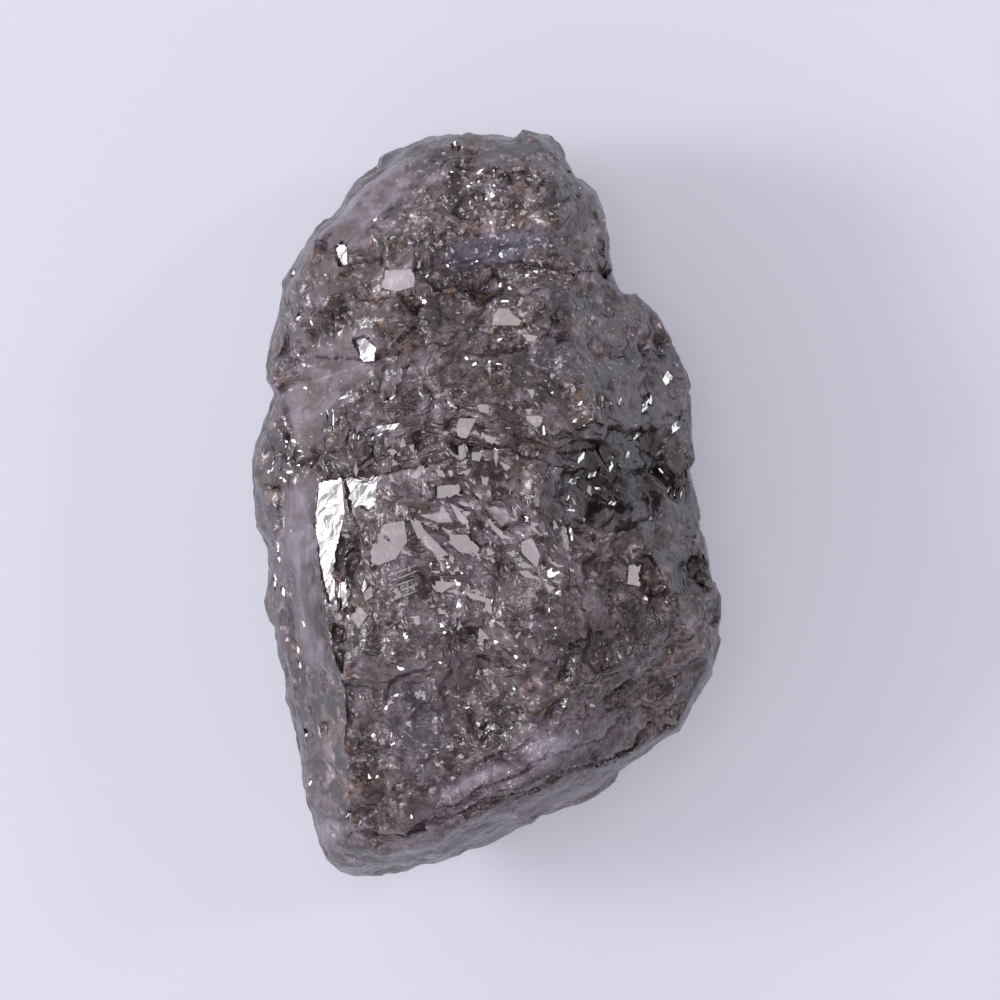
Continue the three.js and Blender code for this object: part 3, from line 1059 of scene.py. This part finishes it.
def drawn_out(graph, place, degrees, stretch):
    """Coordinates whose pattern is stretched and then turned in plan."""
    return graph.add(
        "ShaderNodeMapping",
        {"Vector": place, "Rotation": (0.0, 0.0, math.radians(degrees)), "Scale": stretch},
        vector_type="TEXTURE",
    ).outputs[0]


def mask_value(graph, name):
    return graph.add("ShaderNodeAttribute", attribute_name=name).outputs["Fac"]


# Colours of the crystal's body, of the clouds in it and of single patches. The lavender is a painted
# reflection: it stands for the pale surroundings mirrored in the smooth faces.
WINDOW = (0.028, 0.012, 0.009, 1)
BROWN = (0.095, 0.047, 0.026, 1)
GREY = (0.108, 0.07, 0.068, 1)
RUST = (0.1, 0.05, 0.021, 1)
REFLECTED_LAVENDER = (0.37, 0.32, 0.38, 1)
PALE = (0.27, 0.225, 0.26, 1)
MILKY = (0.6, 0.56, 0.66, 1)
TAN = (0.2, 0.135, 0.083, 1)
BLUE_GREY = (0.15, 0.145, 0.21, 1)
# Painted shade, laid into the hollows and grooves by the dark zones.
HOLLOW_SHADE = (0.018, 0.009, 0.008, 1)

# What clouds the crystal inside. Patches are angular and clouds are soft: kind, how many to the
# millimetre, shade, where it begins, where it is full, and how dense it is.
CLOUDS = [
    ("cloud", 2.6, PALE, 0.52, 0.7, 0.4),
    ("cloud", 3.1, WINDOW, 0.52, 0.64, 0.7),
    ("cloud", 3.7, TAN, 0.56, 0.68, 0.8),
    ("cloud", 3.3, BLUE_GREY, 0.56, 0.68, 0.4),
    ("cloud", 1.4, RUST, 0.53, 0.62, 0.6),
    ("cloud", 1.6, PALE, 0.56, 0.68, 0.35),
    ("patch", 2.4, RUST, 0.55, 0.8, 0.6),
    ("patch", 2.1, WINDOW, 0.78, 0.86, 0.75),
    ("patch", 4.0, WINDOW, 0.7, 0.88, 0.85),
    ("patch", 5.5, PALE, 0.72, 0.95, 0.55),
    ("patch", 7.0, TAN, 0.74, 0.95, 0.6),
    ("patch", 10.0, WINDOW, 0.7, 0.95, 0.7),
    ("patch", 12.0, PALE, 0.68, 0.95, 0.6),
    ("patch", 22.0, MILKY, 0.86, 0.98, 0.4),
]


def clouded(graph, body, place, straight, clear):
    """Lays the clouds and patches over a body colour, thinner where the crystal is clear."""
    for order, (kind, scale, shade, low, high, density) in enumerate(CLOUDS):
        around = place if kind == "cloud" else straight
        moved = graph.vector("ADD", around, (3.1 * order, 1.7 * order, 0.9))
        if kind == "cloud":
            amount = noise_value(graph, moved, scale, 4.0, 0.58)
        else:
            amount = cell_draw(graph, moved, scale, 0)
        body = laid_over(graph, body, shade, clear, graph.ramp(amount, low, high, 0.0, density))
    return body


# Long angular shards of dark and pale crystal: zone, how many to the millimetre, how long for
# their width, and the way they run, in degrees from +X.
SHARDS = [
    ("flaky", 3.2, 3.0, -50), ("flaky", 6.0, 2.5, -22), ("feathered", 6.0, 4.5, 42),
    ("feathered", 10.0, 4.0, 36), ("ridged", 5.0, 6.0, 27), ("ridged", 9.0, 6.0, 24),
    ("upright", 6.0, 4.0, 86),
]


def sharded(graph, body, place):
    """Lays long angular shards over a body colour, each set in its own zone."""
    for zone, scale, length, turn in SHARDS:
        draw = cell_draw(graph, drawn_out(graph, place, turn, (length, 1.0, 1.0)), scale, 1)
        mask = mask_value(graph, zone)
        for low, high, shade, density in ((0.42, 0.3, WINDOW, 0.85), (0.75, 0.9, PALE, 0.65)):
            body = laid_over(graph, body, shade, mask, graph.ramp(draw, low, high, 0.0, density))
    return body


def deepened(graph, body, place, straight, smooth_face):
    """Darkens and lightens a body colour in soft pools and angular patches, for depth."""
    soft = graph.ramp(noise_value(graph, place, 1.9, 5.0, 0.65, 0.3), 0.4, 0.6, 0.6, 1.2)
    sharp = graph.ramp(cell_draw(graph, straight, 5.5, 2), 0.2, 0.8, 0.5, 1.4)
    depth = graph.math("MULTIPLY", soft, sharp)
    calm = graph.math("MULTIPLY", smooth_face, 0.85)
    steady = graph.math("ADD", graph.math("MULTIPLY", depth, graph.math("SUBTRACT", 1.0, calm)), calm)
    return graph.scaled(body, steady)


def base_colour(graph, place, smooth_face):
    """Brown and grey glass; the smooth faces get a lavender that paints the reflection of the pale
    surroundings, with brown and milky veils over it.
    """
    large = noise_value(graph, place, 0.8, 5.0, 0.6, 0.6)
    body = colour_mix(graph, graph.ramp(large, 0.4, 0.6), BROWN, GREY)
    body = laid_over(graph, body, BROWN, mask_value(graph, "brown"), 0.7)
    body = laid_over(graph, body, TAN, mask_value(graph, "tan"), 0.7)
    # painted reflection: the smooth faces are coloured lavender, as if they mirrored the pale
    # surroundings
    body = laid_over(graph, body, REFLECTED_LAVENDER, smooth_face, 0.9)
    veil = noise_value(graph, place, 1.7, 5.0, 0.62, 0.4)
    for low, high, shade, density in ((0.52, 0.38, BROWN, 0.8), (0.54, 0.7, MILKY, 0.35)):
        body = laid_over(graph, body, shade, smooth_face, graph.ramp(veil, low, high, 0.0, density))
    return body


def streaked(graph, body, rings):
    """Lays pale and dark streaks along the rings over a body colour."""
    flow = noise_value(graph, graph.vector("MULTIPLY", rings, (0.7, 3.2, 1.5)), 1.5, 5.0, 0.62, 0.2)
    flaky = graph.math("MULTIPLY", mask_value(graph, "flaky"), 0.6)
    mask = graph.math("MAXIMUM", mask_value(graph, "streaked"), flaky)
    for low, high, shade, density in ((0.5, 0.64, PALE, 0.7), (0.47, 0.36, WINDOW, 0.9)):
        body = laid_over(graph, body, shade, mask, graph.ramp(flow, low, high, 0.0, density))
    return body


def body_colour(graph, place, straight, rings):
    """Brown and grey glass, cloudy inside, with dark windows, pale veins and the marked zones. Some
    zones paint shade into the hollows and light along the left rim, and faces that turn away from above
    get painted shade.
    """
    smooth_face = mask_value(graph, "smooth_face")
    body = base_colour(graph, place, smooth_face)
    body = clouded(graph, body, place, straight, graph.ramp(smooth_face, 0.0, 1.0, 1.0, 0.4))
    body = deepened(graph, body, place, straight, smooth_face)
    body = sharded(graph, body, straight)
    body = streaked(graph, body, rings)
    # The dark zones paint shade into the hollows and grooves, the window zones partly too, and the long
    # pale strip at the left rim paints light through the thin edge.
    for zone, shade, density in (("pale", PALE, 0.8), ("milky", MILKY, 0.9), ("blue", BLUE_GREY, 0.8),
                                 ("dark", HOLLOW_SHADE, 0.9), ("window", WINDOW, 0.85)):
        body = laid_over(graph, body, shade, mask_value(graph, zone), density)
    # Painted shade: the colour darkens on faces that turn away from above, to 0.55 on the sides and
    # below.
    upward = graph.dot(graph.add("ShaderNodeNewGeometry").outputs["Normal"], (0.0, 0.0, 1.0))
    return graph.scaled(body, graph.ramp(upward, 0.2, 0.85, 0.55, 1.0))


def skin_normal(graph, normal, place, rings, masks):
    """The surface between the facets: soft folds, streaks that follow the rings and fine ripples."""
    folds = noise_value(graph, rings, 1.6, 2.0, 0.5, 0.4)
    streaks = noise_value(graph, graph.vector("MULTIPLY", rings, (0.8, 4.0, 2.0)), 1.6, 3.0, 0.6, 0.5)
    ripples = noise_value(graph, place, 7.0, 3.0, 0.6, 0.3)
    for height, mask, deep in ((folds, masks["rough"], 0.12), (streaks, masks["streaked"], 0.1),
                               (ripples, masks["rough"], 0.02)):
        bump = graph.add(
            "ShaderNodeBump",
            {"Height": graph.math("MULTIPLY", height, mask), "Distance": deep * MM, "Strength": 1.0,
             "Normal": normal},
        )
        normal = bump.outputs[0]
    return normal


def hatched_mirror(graph, flat, place):
    """The facets that flash are crossed by fine slanting lines: their normal and how dull they are."""
    lines = drawn_out(graph, place, 50, (0.4, 0.06, 0.4))
    line = graph.ramp(noise_value(graph, lines, 1.2, 3.0, 0.6), 0.46, 0.62)
    patch = graph.ramp(noise_value(graph, place, 3.5, 3.0, 0.6), 0.52, 0.7, 0.0, 0.7)
    dull = graph.math("MAXIMUM", line, patch)
    lean = graph.scaled((0.03, 0.03, 0.01), dull)
    return graph.vector("NORMALIZE", graph.vector("ADD", flat, lean)), dull


def faceted_skin(graph, warped, rings, masks):
    """The normal of the broken skin with shards and chips on it, and where a chip lies bare."""
    normal = graph.add("ShaderNodeNewGeometry").outputs["Normal"]
    facets = facet_group()
    shards = add_facets(
        graph, facets, vector=rings, normal=skin_normal(graph, normal, warped, rings, masks), size=0.24,
        lean=graph.math("MULTIPLY", masks["rough"], 0.08),
        plates=graph.math("MULTIPLY", masks["flaky"], 0.04), flashes=0.0,
    )
    chips = add_facets(
        graph, facets, vector=warped, normal=shards["Normal"], size=0.05,
        lean=graph.math("MULTIPLY", masks["rough"], 0.035),
        plates=graph.math("MULTIPLY", masks["grainy"], 0.04),
        flashes=graph.math("MULTIPLY", masks["glinting"], 0.02),
    )
    return chips["Normal"], chips["Bare"]


def polish(graph, place, bare, flash, dull):
    """Roughness: a cloudy skin, shinier bare facets, and hatching that dulls the facets that flash."""
    cloudy = graph.ramp(noise_value(graph, place, 12.0, 4.0, 0.6), 0.35, 0.65, 0.16, 0.34)
    skin = graph.math("MULTIPLY", cloudy, graph.ramp(bare, 0.0, 1.0, 1.0, 0.36))
    hatching = graph.math("MULTIPLY", flash, graph.math("MULTIPLY", dull, 0.3))
    return graph.math("ADD", skin, hatching)


def crystal_material():
    """The cloudy brown crystal of the whole stone."""
    material = bpy.data.materials.new("diamond crystal")
    material.use_nodes = True
    material.node_tree.nodes.clear()
    graph = Graph(material.node_tree)
    place = graph.scaled(graph.add("ShaderNodeTexCoord").outputs["Object"], 1 / MM)
    warp = wandering(graph, place, 3.0, 3.0, 0.35)
    warped = graph.vector("ADD", place, warp)
    straight = graph.vector("ADD", place, graph.scaled(warp, 0.25))
    rings = shell_rings(graph, warped)

    masks = {name: mask_value(graph, name) for name in ("flaky", "grainy", "streaked", "glinting")}
    masks["rough"] = graph.math("SUBTRACT", 1.0, mask_value(graph, "smooth_face"))
    plate = graph.ramp(mask_value(graph, "bare_plate"), 0.4, 0.6)
    flash = graph.ramp(mask_value(graph, "flash"), 0.4, 0.6)
    flat = graph.add("ShaderNodeNewGeometry").outputs["True Normal"]
    uneven = graph.vector("ADD", flat, wandering(graph, place, 7.0, 4.0, 0.2))
    hatched, dull = hatched_mirror(graph, flat, warped)
    normal, bare = faceted_skin(graph, warped, rings, masks)
    normal = vector_mix(graph, plate, normal, graph.vector("NORMALIZE", uneven))
    normal = vector_mix(graph, flash, normal, hatched)
    bare = graph.math("MAXIMUM", graph.math("MAXIMUM", plate, flash), bare)
    shader = graph.add(
        "ShaderNodeBsdfPrincipled",
        {"Base Color": body_colour(graph, warped, straight, rings),
         "Roughness": polish(graph, place, bare, flash, dull), "IOR": 2.42,
         "Specular IOR Level": 0.35, "Normal": normal},
    )
    graph.add("ShaderNodeOutputMaterial", {"Surface": shader.outputs[0]})
    return material


# ---------------------------------------------------------------- stage, light, camera

def floor_material():
    """Matt pale card that glows a little, so that it stays even."""
    material = bpy.data.materials.new("pale surface")
    material.use_nodes = True
    shader = material.node_tree.nodes["Principled BSDF"]
    for name, value in {"Base Color": (0.85, 0.895, 0.99, 1), "Roughness": 0.9,
                        "Specular IOR Level": 0.1, "Emission Color": (0.92, 0.93, 1.0, 1),
                        "Emission Strength": 0.2}.items():
        shader.inputs[name].default_value = value
    return material


def build_stage():
    mesh = bpy.data.meshes.new("floor")
    half = 3.0
    corners = [(-half, -half, 0), (half, -half, 0), (half, half, 0), (-half, half, 0)]
    mesh.from_pydata(corners, [], [(0, 1, 2, 3)])
    mesh.materials.append(floor_material())
    new_object("floor", mesh)


# Lamps: name, azimuth and elevation in degrees, distance and size in metres, power and colour.
LAMPS = [
    ("overhead", 150, 84, 0.35, 0.13, 0.12, (1.0, 0.92, 0.99)),
    ("key", 176, 36, 0.22, 0.07, 0.12, (0.97, 0.98, 1.0)),
    ("right", 20, 46, 0.22, 0.035, 0.026, (0.97, 0.98, 1.0)),
]


def add_lamp(name, azimuth, elevation, distance, size, power, colour):
    """A round soft lamp that points at the stone from a direction."""
    lamp = bpy.data.lights.new(name, "AREA")
    lamp.shape = "DISK"
    lamp.size = size
    lamp.energy = power
    lamp.color = colour
    toward = Vector(facing(azimuth, 90 - elevation))
    holder = new_object(name, lamp)
    holder.location = toward * distance
    holder.rotation_mode = "QUATERNION"
    holder.rotation_quaternion = toward.to_track_quat("Z", "Y")
    holder.visible_camera = False


def build_world():
    """Dim pale light from all round, stronger low down and at the left."""
    world = bpy.data.worlds.new("studio")
    world.use_nodes = True
    bpy.context.scene.world = world
    graph = Graph(world.node_tree)
    back = world.node_tree.nodes["Background"]
    across, _, height = graph.parts(graph.add("ShaderNodeTexCoord").outputs["Generated"])
    strength = graph.ramp(height, 0.5, 0.86, 0.92, 0.22)
    strength = graph.math("MULTIPLY", strength, graph.ramp(across, -0.6, 0.6, 1.05, 0.5))
    back.inputs["Color"].default_value = (0.95, 0.85, 0.95, 1)
    world.node_tree.links.new(strength, back.inputs["Strength"])


def build_lights():
    for lamp in LAMPS:
        add_lamp(*lamp)
    build_world()


def build_camera():
    """Looks straight down on the stone with the long way upright."""
    lens = bpy.data.cameras.new("camera")
    lens.sensor_width = 36.0
    lens.lens = 700.0
    lens.clip_start, lens.clip_end = 0.01, 10.0
    across, up, level = 0.18 * MM, 0.04 * MM, 2.0 * MM
    width = 12.84 * MM
    camera = new_object("camera", lens)
    camera.location = (across, up, level + width * lens.lens / lens.sensor_width)
    bpy.context.scene.camera = camera


# ---------------------------------------------------------------- put together

def build_stone():
    material = crystal_material()
    piece = rebuilt_lump()
    carve_large_features(piece)
    mark_surface(piece)
    break_surface(piece, material)
    fit_in_box(piece)
    thin_out(piece)
    cut_facets(piece, material)
    fit_in_box(piece)
    mark_zones(piece)
    finish_stone(piece)
    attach(piece, "root")
    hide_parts(NODE)


bpy.context.scene.view_settings.view_transform = "Standard"
build_camera()
build_stage()
build_lights()
build_stone()
